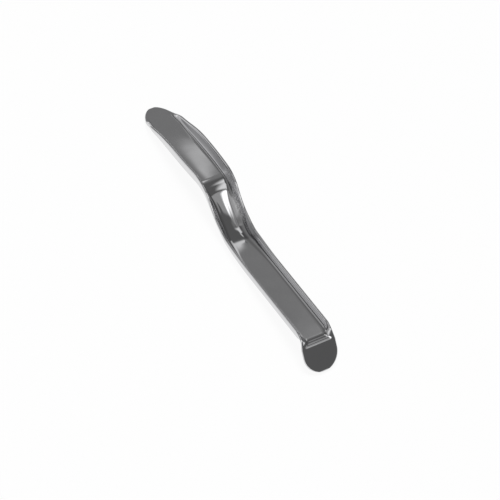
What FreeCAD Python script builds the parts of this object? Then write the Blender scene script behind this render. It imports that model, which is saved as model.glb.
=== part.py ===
import FreeCAD, Part
import math
import os

# Double-ended handheld retractor, formed from one strip of stainless steel.
# The strip is a shallow trough: a flat floor with a rim folded up along each side.
# From the tip of the long blade it runs up the blade, drops through an S bend,
# continues as the straight handle, and folds down into a short rounded tongue.
# The path follows the middle of the strip's thickness. Along it, s is the distance
# from the blade's tip, y is the width and n is the height over the path.
# Lengths are millimetres and angles are degrees.

# Strip, and the bevel that eases its edges
strip_thickness = 1.4
edge_bevel = 0.4

# Path, as seen from the side with the handle level
blade_length = 62.8
blade_tip_rise = 3.5
blade_root_rise = 0.7
upper_bend_radius = 12.0
slope_fall = 40.7
slope_length = 19.7
lower_bend_radius = 14.2
handle_length = 71.2
end_bend_radius = 5.1
tongue_fall = 59.5
tongue_length = 13.5

# Overall widths over the rims
blade_tip_width = 19.0
blade_width = 20.1
waist_width = 18.1
handle_width = 18.0
tongue_width = 19.4

# Elliptic ends, as seen from above
blade_end_length = 18.3
tongue_end_length = 9.8

# Rim heights over the path
blade_rim = 7.2
waist_rim = 5.8
lower_bend_rim = 6.1
handle_rim = 5.2

# Fold between the floor and the rim: radius at mid-thickness, and rim angle
blade_fold_radius = 2.0
waist_fold_radius = 5.6
handle_fold_radius = 2.6
blade_rim_angle = 79.0
waist_rim_angle = 76.0
handle_rim_angle = 88.0

# Where the rims begin and end, and how far along the path each change takes
rim_start = 4.7
rim_growth = 38.4
rim_end = 12.7
blade_fold_run = 14.0
tongue_fold_run = 10.0
root_run = 20.8
handle_run = 25.7

# Where a rim fades out, the strip's border is a flat band and a narrow lip,
# and the fold's angle in radians is next to nothing
border_band = 1.2
border_lip = 0.4
least_angle = 0.0001

# Cross-sections: largest gap along a straight, largest turn in a bend, number at
# each tip, how close the end ones stand to the tips, and arcs in each fold
section_gap = 5.0
section_turn = 9.0
tip_sections = 8
tip_gap = 0.05
fold_arcs = 4


def ease(share):
    # Goes from 0 to 1 with no slope and no curvature at either end.
    share = min(max(share, 0.0), 1.0)
    return share ** 3 * (share * (6.0 * share - 15.0) + 10.0)


def eased_through(s, stations):
    # Value at s that eases from each (place, value) to the next.
    value = stations[0][1]
    for (start, first), (end, last) in zip(stations[:-1], stations[1:]):
        if s > start:
            value = first + (last - first) * ease((s - start) / (end - start))
    return value


def path_runs():
    # Name, length, first and last slope of each stretch of the path.
    fall = math.radians(slope_fall)
    tip_rise = math.radians(blade_tip_rise)
    root_rise = math.radians(blade_root_rise)
    tongue = math.radians(tongue_fall)
    return [
        ("blade", blade_length, tip_rise, root_rise),
        ("upper bend", upper_bend_radius * (root_rise + fall), root_rise, -fall),
        ("slope", slope_length, -fall, -fall),
        ("lower bend", lower_bend_radius * fall, -fall, 0.0),
        ("handle", handle_length, 0.0, 0.0),
        ("end bend", end_bend_radius * tongue, 0.0, -tongue),
        ("tongue", tongue_length, -tongue, -tongue),
    ]


def path_marks():
    # Start and end of each stretch, as distances from the blade's tip.
    found = {}
    start = 0.0
    for name, length, first, last in path_runs():
        found[name] = (start, start + length)
        start += length
    return found


marks = path_marks()
path_length = marks["tongue"][1]
upper_bend_start = marks["upper bend"][0]
waist = sum(marks["slope"]) / 2.0
lower_bend = sum(marks["lower bend"]) / 2.0
handle_start, handle_end = marks["handle"]
handle_even = handle_start + handle_run
end_bend_end = marks["end bend"][1]
rims_gone = path_length - rim_end


def advance(x, z, first, turn_rate, distance):
    # End of an arc, or of a straight line where the turn rate is nothing.
    if turn_rate == 0.0:
        return x + distance * math.cos(first), z + distance * math.sin(first), first
    slope = first + turn_rate * distance
    x += (math.sin(slope) - math.sin(first)) / turn_rate
    z -= (math.cos(slope) - math.cos(first)) / turn_rate
    return x, z, slope


def point_on_path(s):
    # Side-view place and slope of the path at s.
    x = z = 0.0
    for name, length, first, last in path_runs():
        turn_rate = (last - first) / length
        if s <= length or name == "tongue":
            return advance(x, z, first, turn_rate, s)
        x, z, slope = advance(x, z, first, turn_rate, length)
        s -= length


def end_roundness(s):
    # Share of the width that the elliptic ends leave at s.
    from_blade = max(1.0 - s / blade_end_length, 0.0)
    from_tongue = max(1.0 - (path_length - s) / tongue_end_length, 0.0)
    return math.sqrt(1.0 - from_blade ** 2) * math.sqrt(1.0 - from_tongue ** 2)


def half_width(s):
    # Half of the overall width over the rims.
    widths = [
        (blade_end_length, blade_tip_width),
        (upper_bend_start - root_run, blade_width),
        (waist, waist_width),
        (handle_even, handle_width),
        (handle_end, handle_width),
        (end_bend_end, tongue_width),
    ]
    return eased_through(s, widths) / 2.0 * end_roundness(s)


def half_sheet(s):
    # Half of the strip's thickness, which rounds off at both tips.
    full = strip_thickness / 2.0
    inside = min(s, path_length - s, full)
    return math.sqrt(full ** 2 - (full - inside) ** 2)


def rim_angle(s):
    # Angle that the rim makes with the floor, in radians.
    angles = [
        (rim_start, 0.0),
        (rim_start + blade_fold_run, blade_rim_angle),
        (upper_bend_start, blade_rim_angle),
        (waist, waist_rim_angle),
        (handle_even, handle_rim_angle),
        (rims_gone - tongue_fold_run, handle_rim_angle),
        (rims_gone, 0.0),
    ]
    return math.radians(eased_through(s, angles))


def fold_length(s):
    # Length of the fold's arc in the cross-section.
    blade_fold = blade_fold_radius * math.radians(blade_rim_angle)
    waist_fold = waist_fold_radius * math.radians(waist_rim_angle)
    handle_fold = handle_fold_radius * math.radians(handle_rim_angle)
    lengths = [
        (rim_start, border_band),
        (rim_start + blade_fold_run, blade_fold),
        (upper_bend_start, blade_fold),
        (waist, waist_fold),
        (handle_even, handle_fold),
        (rims_gone - tongue_fold_run, handle_fold),
        (rims_gone, border_band),
    ]
    return eased_through(s, lengths) * border_share(s)


def flange_for(rim, radius, angle):
    # Straight part of a rim, above its fold, that gives this height in all.
    angle = math.radians(angle)
    rise = rim - strip_thickness / 2.0 - radius * (1.0 - math.cos(angle))
    return rise / math.sin(angle)


def flange_length(s):
    # Length of the rim's straight part in the cross-section.
    bend_radius = (waist_fold_radius + handle_fold_radius) / 2.0
    blade_flange = flange_for(blade_rim, blade_fold_radius, blade_rim_angle)
    handle_flange = flange_for(handle_rim, handle_fold_radius, handle_rim_angle)
    lengths = [
        (rim_start, border_lip),
        (rim_start + rim_growth, blade_flange),
        (upper_bend_start, blade_flange),
        (waist, flange_for(waist_rim, waist_fold_radius, waist_rim_angle)),
        (lower_bend, flange_for(lower_bend_rim, bend_radius, waist_rim_angle)),
        (handle_even, handle_flange),
        (handle_end, handle_flange),
        (rims_gone, border_lip),
    ]
    return eased_through(s, lengths) * border_share(s)


def border_share(s):
    # Beyond the rims the border narrows with the rounded end.
    inside = rim_start < s < rims_gone
    return 1.0 if inside else end_roundness(s)


def cross_section(s):
    # The right half of the outline across the strip at s, from the inside of the
    # floor over the rim to the underside. Each stretch is a list of (y, n) points:
    # two for a straight line, four for an arc, as the poles of its curve.
    angle = max(rim_angle(s), least_angle)
    radius = fold_length(s) / angle
    flange = flange_length(s)
    half = half_sheet(s)
    bevel = edge_bevel * 2.0 * half / strip_thickness
    floor = half_width(s) - half - radius * math.sin(angle) - flange * math.cos(angle)

    def on_fold(turn, outward, ahead=0.0):
        y = floor + (radius + outward) * math.sin(turn) + ahead * math.cos(turn)
        n = radius - (radius + outward) * math.cos(turn) + ahead * math.sin(turn)
        return y, n

    def fold(outward):
        arcs = round(fold_arcs)
        turn = angle / arcs
        reach = 4.0 / 3.0 * math.tan(turn / 4.0) * (radius + outward)
        return [
            [
                on_fold(i * turn, outward), on_fold(i * turn, outward, reach),
                on_fold((i + 1) * turn, outward, -reach), on_fold((i + 1) * turn, outward),
            ]
            for i in range(arcs)
        ]

    shoulder = flange + half - bevel
    corners = [
        on_fold(angle, -half), on_fold(angle, -half, shoulder),
        on_fold(angle, bevel - half, flange + half), on_fold(angle, half - bevel, flange + half),
        on_fold(angle, half, shoulder), on_fold(angle, half),
    ]
    rim = [list(pair) for pair in zip(corners[:-1], corners[1:])]
    return fold(-half) + rim + [stretch[::-1] for stretch in fold(half)[::-1]]


def section_stretches(s):
    # The whole closed outline of the cross-section at s, standing square to the path,
    # as stretches of poles in order round it.
    x, z, slope = point_on_path(s)

    def placed(stretch, side):
        return [FreeCAD.Vector(x - n * math.sin(slope), side * y, z + n * math.cos(slope)) for y, n in stretch]

    right = cross_section(s)
    left = [stretch[::-1] for stretch in right[::-1]]
    inside, underside = right[0][0], right[-1][-1]
    middle = [(-inside[0], inside[1]), inside]
    under = [underside, (-underside[0], underside[1])]
    outline = [placed(middle, 1.0)]
    outline += [placed(stretch, 1.0) for stretch in right]
    outline += [placed(under, 1.0)]
    outline += [placed(stretch, -1.0) for stretch in left]
    return outline


def skin(stretches, spacing):
    # Smooth face through one stretch of every cross-section.
    rows = []
    for points in zip(*stretches):
        row = Part.BSplineCurve()
        row.interpolate(Points=list(points), Parameters=spacing)
        rows.append(row)
    degree = len(rows) - 1
    surface = Part.BSplineSurface()
    surface.buildFromPolesMultsKnots(
        [row.getPoles() for row in rows],
        [degree + 1, degree + 1], rows[0].getMultiplicities(),
        [0.0, 1.0], rows[0].getKnots(),
        False, False, degree, rows[0].Degree,
    )
    return surface.toShape()


def end_face(outline):
    # Flat face that closes the strip at a tip.
    edges = []
    for stretch in outline:
        curve = Part.BezierCurve()
        curve.setPoles(stretch)
        edges.append(curve.toShape())
    return Part.Face(Part.Wire(edges))


def evenly(start, end, count):
    count = round(count)
    return [start + (end - start) * i / count for i in range(count)]


def section_places():
    # Where the cross-sections stand: closer in the bends, and closer still at the
    # tips, where they follow equal turns of the elliptic outline.
    blade_turns = evenly(math.acos(1.0 - tip_gap / blade_end_length), math.pi / 2.0, tip_sections)
    tongue_turns = evenly(math.pi / 2.0, math.acos(1.0 - tip_gap / tongue_end_length), tip_sections)
    tongue_end = path_length - tongue_end_length
    places = [blade_end_length * (1.0 - math.cos(turn)) for turn in blade_turns]
    for name, length, first, last in path_runs():
        start = max(marks[name][0], blade_end_length)
        end = min(marks[name][1], tongue_end)
        if end > start:
            turn = math.degrees(abs(last - first)) * (end - start) / length
            places += evenly(start, end, math.ceil(max((end - start) / section_gap, turn / section_turn)))
    places += [path_length - tongue_end_length * (1.0 - math.cos(turn)) for turn in tongue_turns]
    return places + [path_length - tip_gap]


def seat_angle():
    # Slope of the surface that carries the blade's tip and the lower bend.
    # Both touch it with a round underside, so it is a tangent to two circles.
    half = strip_thickness / 2.0
    tip_x, tip_z, slope = point_on_path(half)
    bend_x, bend_z, slope = point_on_path(handle_start)
    across = (bend_x - tip_x, bend_z + lower_bend_radius - tip_z)
    turn = math.asin(lower_bend_radius / math.hypot(*across))
    return math.degrees(math.atan2(across[1], across[0]) - turn)


def laid_down(shape):
    # Turns the strip as it rests, with its origin under the middle of its box.
    shape.rotate(FreeCAD.Vector(), FreeCAD.Vector(0, 1, 0), seat_angle())
    box = shape.optimalBoundingBox(False, False)
    shape.translate(FreeCAD.Vector(-(box.XMin + box.XMax) / 2.0, 0, -box.ZMin))
    return shape


def spacing_along(outlines):
    # Distances along the strip's edge from cross-section to cross-section.
    edge = max(range(len(outlines[0])), key=lambda i: outlines[0][i][0].y)
    spacing = [0.0]
    for last, this in zip(outlines[:-1], outlines[1:]):
        spacing.append(spacing[-1] + last[edge][0].distanceToPoint(this[edge][0]))
    return spacing


def retractor():
    outlines = [section_stretches(s) for s in section_places()]
    spacing = spacing_along(outlines)
    faces = [skin(stretches, spacing) for stretches in zip(*outlines)]
    faces += [end_face(outlines[0]), end_face(outlines[-1])]
    shell = Part.Shell(faces)
    shell.sewShape()
    return laid_down(Part.Solid(shell))


shape = retractor()
os.makedirs("parts", exist_ok=True)
shape.exportStep("parts/retractor.step")
box = shape.optimalBoundingBox(False, False)
print("solids", len(shape.Solids), "valid", shape.isValid(), "volume", round(shape.Volume, 1))
print("box", round(box.XLength, 2), round(box.YLength, 2), round(box.ZLength, 2))
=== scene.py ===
import bpy
import math
from mathutils import Matrix, Vector


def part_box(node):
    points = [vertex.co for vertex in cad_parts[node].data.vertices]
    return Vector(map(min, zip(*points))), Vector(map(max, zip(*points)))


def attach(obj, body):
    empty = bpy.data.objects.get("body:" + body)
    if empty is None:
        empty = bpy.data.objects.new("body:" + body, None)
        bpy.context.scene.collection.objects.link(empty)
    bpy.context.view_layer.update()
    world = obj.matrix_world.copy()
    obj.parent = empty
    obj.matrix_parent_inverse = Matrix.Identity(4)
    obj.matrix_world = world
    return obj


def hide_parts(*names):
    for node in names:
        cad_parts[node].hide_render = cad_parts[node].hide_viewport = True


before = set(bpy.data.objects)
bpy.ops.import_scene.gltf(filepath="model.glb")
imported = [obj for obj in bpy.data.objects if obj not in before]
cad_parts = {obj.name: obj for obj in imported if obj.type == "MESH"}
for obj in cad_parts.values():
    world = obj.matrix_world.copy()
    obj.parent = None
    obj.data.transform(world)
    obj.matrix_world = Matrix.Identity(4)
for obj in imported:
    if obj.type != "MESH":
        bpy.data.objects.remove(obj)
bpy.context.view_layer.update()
print("frame loaded")

mm = 0.001

# Sizes of the formed strip, in millimetres and degrees.
# s is the distance along the middle of the sheet, from the long blade's tip.
strip = {
    "thickness": 1.4,
    "bladeLength": 62.8, "bladeTipRise": 3.5, "bladeRootRise": 0.7,
    "upperBendRadius": 12.0, "slopeFall": 40.7, "slopeLength": 19.7,
    "lowerBendRadius": 14.2, "handleLength": 71.2,
    "endBendRadius": 5.1, "tongueFall": 59.5, "tongueLength": 13.5,
    "bladeTipWidth": 19.0, "bladeWidth": 20.1, "waistWidth": 18.1,
    "handleWidth": 18.0, "tongueWidth": 19.4,
    "bladeEndLength": 18.3, "tongueEndLength": 9.8,
    "bladeRim": 7.2, "waistRim": 5.8, "lowerBendRim": 6.1, "handleRim": 5.2,
    "bladeFoldRadius": 2.0, "waistFoldRadius": 5.6, "handleFoldRadius": 2.6,
    "bladeRimAngle": 79.0, "waistRimAngle": 76.0, "handleRimAngle": 88.0,
    "rimStart": 4.7, "rimGrowth": 38.4, "rimEnd": 12.7,
    "bladeFoldRun": 14.0, "tongueFoldRun": 10.0, "rootRun": 20.8, "handleRun": 25.7,
    "borderBand": 1.2, "borderLip": 0.4,
}

# Small unevenness that forming leaves, in millimetres: how far the floor is dished across
# its width, how far the slope sags, how much rounder the upper bend is than drawn, and the
# lower bend's tail, which is longer on the left
forming = {
    "bladeDish": 0.15, "waistDish": 0.3, "slopeSag": 0.6, "upperBendEase": 1.8,
    "tailTurn": 5.0, "tailRun": 9.5, "tailLead": 1.2,
}

# How finely the strip is drawn. The step along it is in millimetres. The last three only keep
# sums from dividing by nothing and join the seam: radians, metres and metres.
drawing = {
    "stepLength": 0.42, "tipSteps": 30,
    "floorSteps": 8, "foldSteps": 10, "rimSteps": 5, "edgeSteps": 8,
    "leastAngle": 1e-4, "leastFlange": 1e-5, "mergeDistance": 1e-6,
}


def ease(share):
    share = min(max(share, 0.0), 1.0)
    return share ** 3 * (share * (6.0 * share - 15.0) + 10.0)


def easedThrough(s, stations):
    value = stations[0][1]
    for (start, first), (end, last) in zip(stations[:-1], stations[1:]):
        if s > start:
            value = first + (last - first) * ease((s - start) / (end - start))
    return value


def pathRuns():
    # name, length, first slope and last slope of each run, seen from the side
    fall = math.radians(strip["slopeFall"])
    tipRise = math.radians(strip["bladeTipRise"])
    rootRise = math.radians(strip["bladeRootRise"])
    tongue = math.radians(strip["tongueFall"])
    upperBendRadius = strip["upperBendRadius"] + forming["upperBendEase"]
    taken = forming["upperBendEase"] * math.tan((rootRise + fall) / 2.0)
    return [
        ("blade", strip["bladeLength"] - taken, tipRise, rootRise),
        ("upperBend", upperBendRadius * (rootRise + fall), rootRise, -fall),
        ("slope", strip["slopeLength"] - taken, -fall, -fall),
        ("lowerBend", strip["lowerBendRadius"] * fall, -fall, 0.0),
        ("handle", strip["handleLength"], 0.0, 0.0),
        ("endBend", strip["endBendRadius"] * tongue, 0.0, -tongue),
        ("tongue", strip["tongueLength"], -tongue, -tongue),
    ]


def runMarks():
    found, start = {}, 0.0
    for name, length, first, last in pathRuns():
        found[name] = (start, start + length)
        start += length
    return found


marks = runMarks()
pathLength = marks["tongue"][1]
upperBendStart = marks["upperBend"][0]
waist = sum(marks["slope"]) / 2.0
lowerBend = sum(marks["lowerBend"]) / 2.0
handleStart, handleEnd = marks["handle"]
handleEven = handleStart + strip["handleRun"]
rimsGone = pathLength - strip["rimEnd"]


def pointOnPath(s):
    x = z = 0.0
    for name, length, first, last in pathRuns():
        rate = (last - first) / length
        reach = s if name == "tongue" else min(s, length)
        slope = first + rate * reach
        if first == last:
            x += reach * math.cos(first)
            z += reach * math.sin(first)
        else:
            x += (math.sin(slope) - math.sin(first)) / rate
            z -= (math.cos(slope) - math.cos(first)) / rate
        s -= length
        if s <= 0.0:
            break
    return x, z, slope


def endRoundness(s):
    fromBlade = max(1.0 - s / strip["bladeEndLength"], 0.0)
    fromTongue = max(1.0 - (pathLength - s) / strip["tongueEndLength"], 0.0)
    return math.sqrt(max(1.0 - fromBlade ** 2, 0.0)) * math.sqrt(max(1.0 - fromTongue ** 2, 0.0))


def halfWidth(s):
    widths = [
        (strip["bladeEndLength"], strip["bladeTipWidth"]),
        (upperBendStart - strip["rootRun"], strip["bladeWidth"]),
        (waist, strip["waistWidth"]),
        (handleEven, strip["handleWidth"]),
        (handleEnd, strip["handleWidth"]),
        (marks["endBend"][1], strip["tongueWidth"]),
    ]
    return easedThrough(s, widths) / 2.0 * endRoundness(s)


def halfSheet(s):
    full = strip["thickness"] / 2.0
    inside = min(s, pathLength - s, full)
    return math.sqrt(max(full ** 2 - (full - inside) ** 2, 0.0))


def rimAngle(s):
    angles = [
        (strip["rimStart"], 0.0),
        (strip["rimStart"] + strip["bladeFoldRun"], strip["bladeRimAngle"]),
        (upperBendStart, strip["bladeRimAngle"]),
        (waist, strip["waistRimAngle"]),
        (handleEven, strip["handleRimAngle"]),
        (rimsGone - strip["tongueFoldRun"], strip["handleRimAngle"]),
        (rimsGone, 0.0),
    ]
    return math.radians(easedThrough(s, angles))


def borderShare(s):
    return 1.0 if strip["rimStart"] < s < rimsGone else endRoundness(s)


def foldLength(s):
    bladeFold = strip["bladeFoldRadius"] * math.radians(strip["bladeRimAngle"])
    waistFold = strip["waistFoldRadius"] * math.radians(strip["waistRimAngle"])
    handleFold = strip["handleFoldRadius"] * math.radians(strip["handleRimAngle"])
    lengths = [
        (strip["rimStart"], strip["borderBand"]),
        (strip["rimStart"] + strip["bladeFoldRun"], bladeFold),
        (upperBendStart, bladeFold),
        (waist, waistFold),
        (handleEven, handleFold),
        (rimsGone - strip["tongueFoldRun"], handleFold),
        (rimsGone, strip["borderBand"]),
    ]
    return easedThrough(s, lengths) * borderShare(s)


def flangeFor(rim, radius, angle):
    angle = math.radians(angle)
    return (rim - strip["thickness"] / 2.0 - radius * (1.0 - math.cos(angle))) / math.sin(angle)


def flangeLength(s):
    bendRadius = (strip["waistFoldRadius"] + strip["handleFoldRadius"]) / 2.0
    bladeFlange = flangeFor(strip["bladeRim"], strip["bladeFoldRadius"], strip["bladeRimAngle"])
    handleFlange = flangeFor(strip["handleRim"], strip["handleFoldRadius"], strip["handleRimAngle"])
    lengths = [
        (strip["rimStart"], strip["borderLip"]),
        (strip["rimStart"] + strip["rimGrowth"], bladeFlange),
        (upperBendStart, bladeFlange),
        (waist, flangeFor(strip["waistRim"], strip["waistFoldRadius"], strip["waistRimAngle"])),
        (lowerBend, flangeFor(strip["lowerBendRim"], bendRadius, strip["waistRimAngle"])),
        (handleEven, handleFlange),
        (handleEnd, handleFlange),
        (rimsGone, strip["borderLip"]),
    ]
    return easedThrough(s, lengths) * borderShare(s)


def floorDish(s):
    depths = [
        (strip["rimStart"] + strip["bladeFoldRun"], 0.0),
        (upperBendStart - strip["rootRun"] / 2.0, forming["bladeDish"]),
        (upperBendStart, forming["bladeDish"]),
        (waist, forming["waistDish"]),
        (handleStart, 0.0),
    ]
    return easedThrough(s, depths)


def satinAndSheenShare(s):
    # inside the S bend the rims are only satin polished, and carry a painted pale sheen
    shares = [
        (upperBendStart, 0.0),
        (upperBendStart + steel["satinAndSheenRun"], 1.0),
        (waist, 1.0),
        (lowerBend, 0.0),
    ]
    return easedThrough(s, shares)


def slopeSag(s):
    share = (s - upperBendStart) / (handleStart - upperBendStart)
    return forming["slopeSag"] * math.sin(math.pi * share) ** 2 if 0.0 < share < 1.0 else 0.0


def bendTails(places):
    # the lower bend runs out slowly on the left: how high the floor stands there, summed up
    # from the handle's side
    start = handleStart - forming["tailLead"]
    heights = [0.0]
    for last, s in zip(places[::-1], places[-2::-1]):
        middle = (last + s) / 2.0 - start
        rising = min(max(middle / forming["tailLead"], 0.0), 1.0)
        share = rising * max(1.0 - middle / forming["tailRun"], 0.0)
        heights.append(heights[-1] + math.radians(forming["tailTurn"]) * share * (last - s))
    fades = [easedThrough(s, [(upperBendStart, 0.0), (start, 1.0)]) for s in places]
    return [height * fade for height, fade in zip(heights[::-1], fades)]


def seatAngle():
    # slope of the table under the blade's tip and the lower bend
    tipX, tipZ = pointOnPath(strip["thickness"] / 2.0)[:2]
    bendX, bendZ = pointOnPath(handleStart)[:2]
    across, up = bendX - tipX, bendZ + strip["lowerBendRadius"] - tipZ
    return math.atan2(up, across) - math.asin(strip["lowerBendRadius"] / math.hypot(across, up))


def pathPlaces():
    # equal turns of the rounded ends, and equal steps between them
    count = drawing["tipSteps"]
    turns = [math.pi / 2.0 * i / count for i in range(count)]
    bladeEnd, tongueEnd = strip["bladeEndLength"], strip["tongueEndLength"]
    middle = pathLength - bladeEnd - tongueEnd
    steps = math.ceil(middle / drawing["stepLength"])
    places = [bladeEnd * (1.0 - math.cos(turn)) for turn in turns]
    places += [bladeEnd + middle * i / steps for i in range(steps + 1)]
    places += [pathLength - tongueEnd * (1.0 - math.cos(turn)) for turn in turns[::-1]]
    return places


def makePath():
    # the strip's middle line as a chain of points that carry its cross-section's sizes
    places = pathPlaces()
    seat = Matrix.Rotation(seatAngle(), 4, "Y")
    points, ups = [], []
    for s in places:
        x, z, slope = pointOnPath(s)
        up = seat @ Vector((-math.sin(slope), 0.0, math.cos(slope)))
        points.append((seat @ Vector((x, 0.0, z)) - slopeSag(s) * up) * mm)
        ups.append(up)
    angles = [max(rimAngle(s), drawing["leastAngle"]) for s in places]
    columns = {
        "along": [s * mm for s in places],
        "halfWidth": [halfWidth(s) * mm for s in places],
        "rimAngle": angles,
        "foldRadius": [foldLength(s) / angle * mm for s, angle in zip(places, angles)],
        "flange": [flangeLength(s) * mm for s in places],
        "halfSheet": [halfSheet(s) * mm for s in places],
        "dish": [floorDish(s) * mm for s in places],
        "tail": [tail * mm for tail in bendTails(places)],
        "satinAndSheenRim": [satinAndSheenShare(s) for s in places],
    }
    mesh = bpy.data.meshes.new("stripPath")
    mesh.from_pydata(points, [(i, i + 1) for i in range(len(points) - 1)], [])
    for name, values in columns.items():
        mesh.attributes.new(name, "FLOAT", "POINT").data.foreach_set("value", values)
    upward = mesh.attributes.new("upward", "FLOAT_VECTOR", "POINT")
    upward.data.foreach_set("vector", [v for up in ups for v in up])
    return mesh


# Node trees

def newGroup(name, kind, inputs, outputs):
    group = bpy.data.node_groups.new(name, kind)
    for way, sockets in (("INPUT", inputs), ("OUTPUT", outputs)):
        for label, holds in sockets.items():
            group.interface.new_socket(label, in_out=way, socket_type="NodeSocket" + holds)
    return group, group.nodes.new("NodeGroupInput"), group.nodes.new("NodeGroupOutput")


def plug(tree, value, socket):
    if isinstance(value, bpy.types.NodeSocket):
        tree.links.new(value, socket)
    else:
        socket.default_value = value


def addNode(tree, kind, inputs=None, **settings):
    node = tree.nodes.new(kind)
    for name, value in settings.items():
        setattr(node, name, value)
    for name, value in (inputs or {}).items():
        plug(tree, value, node.inputs[name])
    return node


def addMath(tree, operation, *values, clamped=False):
    node = addNode(tree, "ShaderNodeMath", operation=operation, use_clamp=clamped)
    for value, socket in zip(values, node.inputs):
        plug(tree, value, socket)
    return node.outputs["Value"]


def mixColours(tree, share, first, second):
    # a Mix node holds its two colours in sockets 6 and 7, and the mixed one in output 2
    return addNode(tree, "ShaderNodeMix", {
        "Factor": share, 6: first, 7: second,
    }, data_type="RGBA").outputs[2]


def makeStripTree():
    # Sweeps the folded cross-section along the path's points: every grid column is one
    # point of the outline, every grid row is one point of the path.
    tree, given, result = newGroup("formedStrip", "GeometryNodeTree", {
        "Geometry": "Geometry", "Floor Steps": "Int", "Fold Steps": "Int",
        "Rim Steps": "Int", "Edge Steps": "Int", "Least Flange": "Float",
        "Satin And Sheen From": "Float", "Satin And Sheen To": "Float", "Merge Distance": "Float",
        "Steel": "Material",
    }, {"Geometry": "Geometry"})
    path = given.outputs["Geometry"]
    floorSteps, foldSteps = given.outputs["Floor Steps"], given.outputs["Fold Steps"]
    rimSteps, edgeSteps = given.outputs["Rim Steps"], given.outputs["Edge Steps"]

    def calc(operation, *values):
        return addMath(tree, operation, *values)

    def whole(operation, first, second):
        kind = "FunctionNodeIntegerMath"
        return addNode(tree, kind, {0: first, 1: second}, operation=operation).outputs[0]

    size = addNode(tree, "GeometryNodeAttributeDomainSize", {"Geometry": path}, component="MESH")

    # columns: from the middle of the inner floor over the right edge to the underside, and
    # back by the left
    flatSteps = whole("ADD", whole("ADD", floorSteps, foldSteps), rimSteps)
    halfTurn = whole("ADD", whole("MULTIPLY", flatSteps, 2), edgeSteps)
    columns = whole("ADD", whole("MULTIPLY", halfTurn, 2), 1)
    grid = addNode(tree, "GeometryNodeMeshGrid", {
        "Vertices X": size.outputs["Point Count"], "Vertices Y": columns,
    })
    index = addNode(tree, "GeometryNodeInputIndex").outputs["Index"]
    row = whole("DIVIDE_FLOOR", index, columns)
    column = whole("MODULO", index, columns)

    def onRow(value, kind):
        sample = addNode(tree, "GeometryNodeSampleIndex", {
            "Geometry": path, "Index": row,
        }, data_type=kind, domain="POINT")
        plug(tree, value, sample.inputs["Value"])
        return sample.outputs["Value"]

    def fromPath(name, kind="FLOAT"):
        attribute = addNode(tree, "GeometryNodeInputNamedAttribute", {"Name": name}, data_type=kind)
        return onRow(attribute.outputs["Attribute"], kind)

    place = onRow(addNode(tree, "GeometryNodeInputPosition").outputs["Position"], "FLOAT_VECTOR")
    upward = fromPath("upward", "FLOAT_VECTOR")
    along, width, angle = fromPath("along"), fromPath("halfWidth"), fromPath("rimAngle")
    radius, flange, sheet = fromPath("foldRadius"), fromPath("flange"), fromPath("halfSheet")

    # where this column stands on its half of the outline, counted from the inner floor
    side = calc("SUBTRACT", 1.0, calc("MULTIPLY", 2.0, calc("GREATER_THAN", column, halfTurn)))
    reach = calc("SUBTRACT", halfTurn, calc("ABSOLUTE", calc("SUBTRACT", column, halfTurn)))
    fromMiddle = calc("MINIMUM", calc("MINIMUM", reach, calc("SUBTRACT", halfTurn, reach)), flatSteps)

    def shareOf(count, start, steps):
        share = calc("DIVIDE", calc("SUBTRACT", count, start), steps)
        return addNode(tree, "ShaderNodeClamp", {"Value": share}).outputs["Result"]

    floorShare = shareOf(fromMiddle, 0.0, floorSteps)
    foldShare = shareOf(fromMiddle, floorSteps, foldSteps)
    rimShare = shareOf(fromMiddle, whole("ADD", floorSteps, foldSteps), rimSteps)
    turn = calc("MULTIPLY", foldShare, angle)
    rimReach = calc("MULTIPLY", rimShare, flange)

    # the edge turns from the inner face to the outer face over half a circle
    edgeShare = shareOf(reach, flatSteps, edgeSteps)
    edgeTurn = calc("MULTIPLY", calc("SUBTRACT", edgeShare, 0.5), math.pi)
    ahead = calc("ADD", rimReach, calc("MULTIPLY", sheet, calc("COSINE", edgeTurn)))
    outward = calc("MULTIPLY", sheet, calc("SINE", edgeTurn))

    # the floor is as wide as the folds and the rims leave it
    foldWidth = calc("MULTIPLY", radius, calc("SINE", angle))
    rimWidth = calc("MULTIPLY", flange, calc("COSINE", angle))
    floorWidth = calc("SUBTRACT", calc("SUBTRACT", width, sheet), calc("ADD", foldWidth, rimWidth))
    onFloor = calc("MULTIPLY", floorWidth, floorShare)
    arm = calc("ADD", radius, outward)
    swung = calc("ADD", calc("MULTIPLY", arm, calc("SINE", turn)),
                 calc("MULTIPLY", ahead, calc("COSINE", turn)))
    across = calc("ADD", onFloor, swung)
    height = calc("SUBTRACT", calc("ADD", radius, calc("MULTIPLY", ahead, calc("SINE", turn))),
                  calc("MULTIPLY", arm, calc("COSINE", turn)))

    # the floor's dish, and the lower bend's tail on the left
    bowl = calc("SUBTRACT", 1.0, calc("MULTIPLY", floorShare, floorShare))
    dish = calc("MULTIPLY", fromPath("dish"), bowl)
    leftShare = calc("MULTIPLY", 0.5, calc("SUBTRACT", 1.0, calc("MULTIPLY", side, floorShare)))
    height = calc("ADD", calc("SUBTRACT", height, dish), calc("MULTIPLY", fromPath("tail"), leftShare))

    lift = addNode(tree, "ShaderNodeVectorMath", {0: upward, "Scale": height}, operation="SCALE")
    sideways = addNode(tree, "ShaderNodeCombineXYZ", {"Y": calc("MULTIPLY", across, side)})
    offset = addNode(tree, "ShaderNodeVectorMath", {
        0: lift.outputs["Vector"], 1: sideways.outputs["Vector"],
    }, operation="ADD")
    moved = addNode(tree, "GeometryNodeSetPosition", {
        "Geometry": grid.outputs["Mesh"], "Position": place, "Offset": offset.outputs["Vector"],
    })

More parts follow.
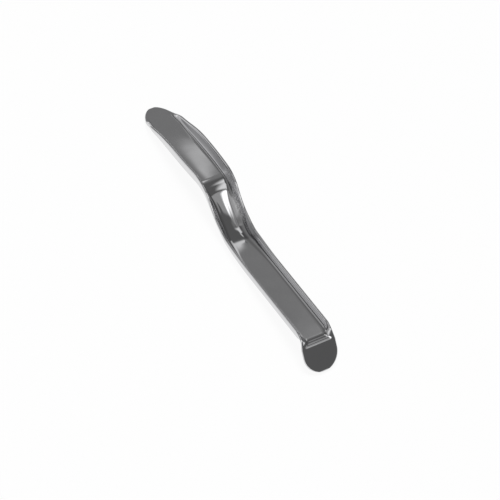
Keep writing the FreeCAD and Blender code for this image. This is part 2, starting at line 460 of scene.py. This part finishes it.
    # a map of the sheet's surface: along the strip, and round the outline
    overEdge = calc("MULTIPLY", sheet, calc("ADD", edgeTurn, math.pi / 2.0))
    pastFloor = calc("ADD", calc("MULTIPLY", radius, turn), calc("ADD", rimReach, overEdge))
    around = calc("MULTIPLY", side, calc("ADD", onFloor, pastFloor))
    mapped = addNode(tree, "GeometryNodeStoreNamedAttribute", {
        "Geometry": moved.outputs["Geometry"], "Name": "stripMap",
        "Value": addNode(tree, "ShaderNodeCombineXYZ", {"X": along, "Y": around}).outputs["Vector"],
    }, data_type="FLOAT2", domain="CORNER")

    # two masks on the inner face: painted shade in the crease of each fold, and the satin rims with
    # their painted pale sheen
    inside = calc("LESS_THAN", reach, calc("ADD", flatSteps, 0.5))
    midFold = calc("MULTIPLY", foldShare, calc("SUBTRACT", 1.0, foldShare))
    # painted shade: the mask of the darkening in each fold's crease, strongest in its middle
    creaseShadeMask = calc("MULTIPLY", midFold, calc("MULTIPLY", calc("SINE", angle), 4.0))
    climb = calc("ADD", calc("MULTIPLY", radius, turn), rimReach)
    fullClimb = calc("ADD", calc("MULTIPLY", radius, angle),
                     calc("MAXIMUM", flange, given.outputs["Least Flange"]))
    climbed = addNode(tree, "ShaderNodeMapRange", {
        "Value": calc("DIVIDE", climb, fullClimb),
        "From Min": given.outputs["Satin And Sheen From"], "From Max": given.outputs["Satin And Sheen To"],
    }, interpolation_type="SMOOTHSTEP").outputs["Result"]
    # the mask of the satin rims, which also carries their painted pale sheen
    satinAndSheen = calc("MULTIPLY", fromPath("satinAndSheenRim"), calc("MULTIPLY", climbed, inside))
    marked = mapped
    for name, value in (("creaseShade", calc("MULTIPLY", creaseShadeMask, inside)), ("satinAndSheen", satinAndSheen)):
        marked = addNode(tree, "GeometryNodeStoreNamedAttribute", {
            "Geometry": marked.outputs["Geometry"], "Name": name, "Value": value,
        }, data_type="FLOAT", domain="POINT")
    merged = addNode(tree, "GeometryNodeMergeByDistance", {
        "Geometry": marked.outputs["Geometry"], "Distance": given.outputs["Merge Distance"],
    })
    smooth = addNode(tree, "GeometryNodeSetShadeSmooth", {"Geometry": merged.outputs["Geometry"]})
    real = addNode(tree, "GeometryNodeRealizeInstances", {"Geometry": smooth.outputs["Geometry"]})
    painted = addNode(tree, "GeometryNodeSetMaterial", {
        "Geometry": real.outputs["Geometry"], "Material": given.outputs["Steel"],
    })
    plug(tree, painted.outputs["Geometry"], result.inputs["Geometry"])
    return tree


def grownMesh(name, source, tree, values):
    # runs a tree on a mesh and returns the plain result
    carrier = bpy.data.objects.new(name + "Carrier", source)
    bpy.context.scene.collection.objects.link(carrier)
    modifier = carrier.modifiers.new(name, "NODES")
    modifier.node_group = tree
    for socket in tree.interface.items_tree:
        if socket.item_type == "SOCKET" and socket.in_out == "INPUT" and socket.name in values:
            modifier[socket.identifier] = values[socket.name]
    evaluated = carrier.evaluated_get(bpy.context.evaluated_depsgraph_get())
    mesh = bpy.data.meshes.new_from_object(evaluated)
    mesh.name = name
    carrier.modifiers.remove(modifier)
    bpy.data.objects.remove(carrier)
    return mesh


# Steel

# The steel: its colours, with a painted shade in the creases and a painted pale sheen on the
# satin rims, how rough the polish is, its fine pattern, and where the rims are only satin.
# satinAndSheenRun is in millimetres along the strip, and satinAndSheenBand in shares of the
# way from the floor up to the rim's edge. waveHeight is in metres.
steel = {
    "colour": (0.62, 0.62, 0.63, 1.0), "paleColour": (0.66, 0.66, 0.67, 1.0),
    # a painted shade for the creases of the folds
    "creaseShadeColour": (0.26, 0.26, 0.265, 1.0), "creaseShadeDepth": 0.8,
    # a painted pale sheen for the satin rims' colour, and their roughness
    "paintedSheenColour": (0.93, 0.93, 0.94, 1.0), "satinRoughness": 0.34,
    "satinAndSheenRun": 5.0, "satinAndSheenBand": (0.40, 0.62),
    "roughness": 0.045, "smudge": 0.03, "grain": 0.02,
    "cloudScale": 90.0, "mottleScale": 800.0, "lineStretch": (60.0, 5200.0, 1.0),
    "waveHeight": 0.000012, "waveScale": 110.0,
}


def makeSteel():
    material = bpy.data.materials.new("polishedSteel")
    material.use_nodes = True
    tree = material.node_tree
    shader = tree.nodes["Principled BSDF"]
    shader.inputs["Metallic"].default_value = 1.0
    place = tree.nodes.new("ShaderNodeTexCoord").outputs["Object"]
    surface = addNode(tree, "ShaderNodeUVMap", uv_map="stripMap").outputs["UV"]

    # soft clouds where the polish is a little duller
    clouds = addNode(tree, "ShaderNodeTexNoise", {
        "Vector": place, "Scale": steel["cloudScale"], "Detail": 3.0, "Roughness": 0.55,
    }).outputs["Fac"]
    tone = mixColours(tree, clouds, steel["colour"], steel["paleColour"])

    # painted shade: darker in the middle of each fold's crease, where shade and a dark reflection fall
    creaseShade = addNode(tree, "ShaderNodeAttribute", attribute_name="creaseShade").outputs["Fac"]
    depth = addMath(tree, "MULTIPLY", creaseShade, steel["creaseShadeDepth"])
    creaseShaded = mixColours(tree, depth, tone, steel["creaseShadeColour"])

    # painted sheen: a pale, mottled colour on the satin rims of the S bend, standing in for their
    # light reflection
    rims = addNode(tree, "ShaderNodeAttribute", attribute_name="satinAndSheen").outputs["Fac"]
    mottle = addNode(tree, "ShaderNodeTexNoise", {
        "Vector": place, "Scale": steel["mottleScale"], "Detail": 2.0,
    })
    patchy = addNode(tree, "ShaderNodeMapRange", {
        "Value": mottle.outputs["Fac"],
        "From Min": 0.35, "From Max": 0.65, "To Min": 0.45, "To Max": 1.0,
    })
    satinAndSheen = addMath(tree, "MULTIPLY", rims, patchy.outputs["Result"])
    toneWithPaintedShadeAndSheen = mixColours(tree, satinAndSheen, creaseShaded, steel["paintedSheenColour"])
    plug(tree, toneWithPaintedShadeAndSheen, shader.inputs["Base Color"])

    # fine polishing lines that run along the strip
    stretched = addNode(tree, "ShaderNodeMapping", {
        "Vector": surface, "Scale": steel["lineStretch"],
    })
    lines = addNode(tree, "ShaderNodeTexNoise", {
        "Vector": stretched.outputs["Vector"], "Scale": 1.0, "Detail": 2.0,
    })
    dull = addNode(tree, "ShaderNodeMapRange", {
        "Value": clouds, "From Min": 0.35, "From Max": 0.7,
        "To Min": steel["roughness"], "To Max": steel["roughness"] + steel["smudge"],
    })
    rough = addMath(tree, "MULTIPLY_ADD", lines.outputs["Fac"], steel["grain"], dull.outputs["Result"])
    worn = addMath(tree, "MULTIPLY_ADD", rims, steel["satinRoughness"], rough)
    plug(tree, worn, shader.inputs["Roughness"])

    # the sheet is not quite flat after forming and hand polishing
    waves = addNode(tree, "ShaderNodeTexNoise", {
        "Vector": place, "Scale": steel["waveScale"], "Detail": 1.0,
    })
    bump = addNode(tree, "ShaderNodeBump", {
        "Strength": 1.0, "Distance": steel["waveHeight"], "Height": waves.outputs["Fac"],
    })
    plug(tree, bump.outputs["Normal"], shader.inputs["Normal"])
    return material


def makeRetractor(material):
    tree = makeStripTree()
    mesh = grownMesh("retractorStrip", makePath(), tree, {
        "Floor Steps": drawing["floorSteps"], "Fold Steps": drawing["foldSteps"],
        "Rim Steps": drawing["rimSteps"], "Edge Steps": drawing["edgeSteps"],
        "Satin And Sheen From": steel["satinAndSheenBand"][0], "Satin And Sheen To": steel["satinAndSheenBand"][1],
        "Least Flange": drawing["leastFlange"], "Merge Distance": drawing["mergeDistance"],
        "Steel": material,
    })
    # seated in the frame's own box
    low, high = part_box("retractor")
    xs = [v.co.x for v in mesh.vertices]
    bottom = min(v.co.z for v in mesh.vertices)
    middle = (low.x + high.x - min(xs) - max(xs)) / 2.0
    mesh.transform(Matrix.Translation((middle, 0.0, low.z - bottom)))
    piece = bpy.data.objects.new("retractorStrip", mesh)
    bpy.context.scene.collection.objects.link(piece)
    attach(piece, "root")
    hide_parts("retractor")
    return piece


retractorPiece = makeRetractor(makeSteel())
print("strip built,", len(retractorPiece.data.polygons), "faces")


# Studio

# Greys of the room, and from which to which share of a direction it turns lighter, to the left
# and to the front
studio = {
    "floorSize": 3.0, "floorColour": (0.93, 0.93, 0.93, 1.0), "floorWhite": 0.92,
    "white": (1.0, 1.0, 1.0, 1.0),
    "overheadGrey": 0.125, "leftGrey": 0.24, "frontGrey": 0.42,
    "leftBlend": (-0.41, -0.60), "frontBlend": (-0.19, -0.87), "leastDepth": 0.01,
}

# Soft white panels far away in the studio: where their middle stands and how they are turned,
# their half sizes and blur as shares of their distance, and how bright they are (1 is white).
# Most of these values, and the greys above, were fitted to the reflections in the photograph
# by a search outside this script, and rounded.
panels = {
    "bladePanel": {
        "azimuth": 163.7, "elevation": 34.5, "turn": -7.2,
        "half": (0.182, 0.022), "blur": 0.018, "bright": 0.38,
    },
    "bendPanel": {
        "azimuth": 130.4, "elevation": 38.2, "turn": 22.0,
        "half": (0.213, 0.153), "blur": 0.035, "bright": 0.58,
    },
    "slopePanel": {
        "azimuth": 18.1, "elevation": 51.4, "turn": 19.7,
        "half": (0.552, 0.169), "blur": 0.025, "bright": 0.27,
    },
    "slopeCore": {
        "azimuth": 12.0, "elevation": 49.0, "turn": -18.5,
        "half": (0.200, 0.160), "blur": 0.065, "bright": 1.60,
    },
    "overPanel": {
        "azimuth": -67.6, "elevation": 84.9, "turn": 13.0,
        "half": (0.023, 0.188), "blur": 0.013, "bright": 0.65,
    },
    "leftPanel": {
        "azimuth": -145.1, "elevation": 29.5, "turn": -42.9,
        "half": (0.102, 0.087), "blur": 0.042, "bright": 0.48,
    },
    "lowLeftPanel": {
        "azimuth": -136.4, "elevation": 11.0, "turn": -20.4,
        "half": (0.179, 0.118), "blur": 0.046, "bright": 0.50,
    },
    "frontPanel": {
        "azimuth": -48.0, "elevation": 36.0, "turn": -42.8,
        "half": (0.434, 0.243), "blur": 0.025, "bright": 0.52,
    },
    "backPanel": {
        "azimuth": 135.3, "elevation": -10.6, "turn": -1.3,
        "half": (0.274, 0.129), "blur": 0.097, "bright": 1.41,
    },
    "topPanel": {
        "azimuth": 30.5, "elevation": 77.0, "turn": 15.8,
        "half": (0.250, 0.214), "blur": 0.080, "bright": 0.85,
    },
    "crestPanel": {
        "azimuth": 126.8, "elevation": 71.1, "turn": 10.5,
        "half": (0.132, 0.085), "blur": 0.080, "bright": 0.85,
    },
    "rightPanel": {
        "azimuth": 22.4, "elevation": 3.9, "turn": 23.2,
        "half": (0.038, 0.063), "blur": 0.028, "bright": 1.00,
    },
}

lamps = {
    "keySoftbox": {
        "place": (-0.05, -0.1, 1.6), "aim": (0.0, 0.0, 0.0), "size": (0.55, 0.55), "power": 15.0,
    },
}

# The camera: aim and distance in millimetres, angles in degrees. A search outside this script
# fitted its azimuth, roll and aim to the photograph's outline, together with the strip's sizes.
# Its distance and how steeply it looks down on the strip were chosen: one view can't tell them.
view = {
    "aim": (19.4, -4.7, 16.6), "distance": 1250.0,
    "azimuth": -40.57, "elevation": 53.99, "roll": 13.3,
    "lens": 180.0, "sensorWidth": 36.0,
}


def pointing(values):
    azimuth, elevation = math.radians(values["azimuth"]), math.radians(values["elevation"])
    level = math.cos(elevation)
    return Vector((math.cos(azimuth) * level, math.sin(azimuth) * level, math.sin(elevation)))


def makeFloor():
    half = studio["floorSize"] / 2.0
    corners = [(-half, -half, 0), (half, -half, 0), (half, half, 0), (-half, half, 0)]
    mesh = bpy.data.meshes.new("table")
    mesh.from_pydata(corners, [], [(0, 1, 2, 3)])
    floor = bpy.data.objects.new("table", mesh)
    bpy.context.scene.collection.objects.link(floor)
    material = bpy.data.materials.new("paleTable")
    material.use_nodes = True
    tree = material.node_tree
    shader = tree.nodes["Principled BSDF"]
    shader.inputs["Base Color"].default_value = studio["floorColour"]
    shader.inputs["Roughness"].default_value = 1.0
    shader.inputs["Specular IOR Level"].default_value = 0.0

    # shown white to the camera and in the steel, with a share left for the shadow
    ray = tree.nodes.new("ShaderNodeLightPath").outputs
    white = addNode(tree, "ShaderNodeEmission", {"Color": studio["white"], "Strength": 1.0})
    shown = addMath(tree, "ADD", ray["Is Camera Ray"], ray["Is Glossy Ray"], clamped=True)
    shown = addMath(tree, "ADD", shown, ray["Is Transmission Ray"], clamped=True)
    mixed = addNode(tree, "ShaderNodeMixShader", {
        0: addMath(tree, "MULTIPLY", shown, studio["floorWhite"]),
        1: shader.outputs["BSDF"], 2: white.outputs["Emission"],
    })
    plug(tree, mixed.outputs["Shader"], tree.nodes["Material Output"].inputs["Surface"])
    mesh.materials.append(material)


def makeLamps():
    for name, values in lamps.items():
        data = bpy.data.lights.new(name, "AREA")
        data.shape = "RECTANGLE"
        data.size, data.size_y = values["size"]
        data.energy = values["power"]
        lamp = bpy.data.objects.new(name, data)
        lamp.location = values["place"]
        lamp.visible_glossy = False
        lamp.rotation_mode = "QUATERNION"
        toward = Vector(values["aim"]) - Vector(values["place"])
        lamp.rotation_quaternion = toward.to_track_quat("-Z", "Y")
        bpy.context.scene.collection.objects.link(lamp)


def makePanelGroup():
    # one soft rectangle of light, seen in its own direction only
    group, given, result = newGroup("softPanel", "ShaderNodeTree", {
        "Direction": "Vector", "Front": "Vector", "Right": "Vector", "Up": "Vector",
        "Half Width": "Float", "Half Height": "Float", "Blur": "Float", "Bright": "Float",
    }, {"Light": "Float"})

    def calc(operation, *values):
        return addMath(group, operation, *values)

    def against(axis):
        return addNode(group, "ShaderNodeVectorMath", {
            0: given.outputs["Direction"], 1: given.outputs[axis],
        }, operation="DOT_PRODUCT").outputs["Value"]

    depth = calc("MAXIMUM", against("Front"), studio["leastDepth"])

    def within(axis, half):
        size, blur = given.outputs[half], given.outputs["Blur"]
        return addNode(group, "ShaderNodeMapRange", {
            "Value": calc("ABSOLUTE", calc("DIVIDE", against(axis), depth)),
            "From Min": calc("SUBTRACT", size, blur), "From Max": calc("ADD", size, blur),
            "To Min": 1.0, "To Max": 0.0,
        }, interpolation_type="SMOOTHSTEP").outputs["Result"]

    ahead = calc("GREATER_THAN", against("Front"), 0.0)
    panel = calc("MULTIPLY", within("Right", "Half Width"), within("Up", "Half Height"))
    light = calc("MULTIPLY", calc("MULTIPLY", panel, ahead), given.outputs["Bright"])
    plug(group, light, result.inputs["Light"])
    return group


def makeWorld():
    world = bpy.data.worlds.new("studioWorld")
    world.use_nodes = True
    tree = world.node_tree
    direction = tree.nodes.new("ShaderNodeTexCoord").outputs["Generated"]
    split = addNode(tree, "ShaderNodeSeparateXYZ", {"Vector": direction})

    def blend(axis, between, low, high):
        return addNode(tree, "ShaderNodeMapRange", {
            "Value": split.outputs[axis], "From Min": between[0], "From Max": between[1],
            "To Min": low, "To Max": high,
        }, interpolation_type="SMOOTHSTEP").outputs["Result"]

    # the room: dark overhead and to the right, lighter to the left and behind the camera
    left = blend("X", studio["leftBlend"], studio["overheadGrey"], studio["leftGrey"])
    front = blend("Y", studio["frontBlend"], 0.0, studio["frontGrey"] - studio["overheadGrey"])
    light = addMath(tree, "ADD", left, front)
    group = makePanelGroup()
    for name, values in panels.items():
        ahead = pointing(values)
        level = ahead.cross(Vector((0.0, 0.0, 1.0))).normalized()
        right = Matrix.Rotation(math.radians(values["turn"]), 4, -ahead) @ level
        panel = addNode(tree, "ShaderNodeGroup", {
            "Direction": direction, "Front": ahead, "Right": right, "Up": right.cross(ahead),
            "Half Width": values["half"][0], "Half Height": values["half"][1],
            "Blur": values["blur"], "Bright": values["bright"],
        }, node_tree=group, name=name)
        light = addMath(tree, "ADD", light, panel.outputs["Light"])
    background = tree.nodes["Background"]
    plug(tree, light, background.inputs["Strength"])
    plug(tree, studio["white"], background.inputs["Color"])
    bpy.context.scene.world = world


def makeCamera():
    toward = pointing(view)
    data = bpy.data.cameras.new("photoCamera")
    data.lens = view["lens"]
    data.sensor_width = view["sensorWidth"]
    camera = bpy.data.objects.new("photoCamera", data)
    camera.rotation_mode = "QUATERNION"
    roll = Matrix.Rotation(math.radians(view["roll"]), 4, "Z").to_quaternion()
    camera.rotation_quaternion = toward.to_track_quat("Z", "Y") @ roll
    camera.location = (Vector(view["aim"]) + toward * view["distance"]) * mm
    bpy.context.scene.collection.objects.link(camera)
    bpy.context.scene.camera = camera


makeFloor()
makeLamps()
makeWorld()
makeCamera()
bpy.context.scene.view_settings.view_transform = "Standard"
print("studio built")
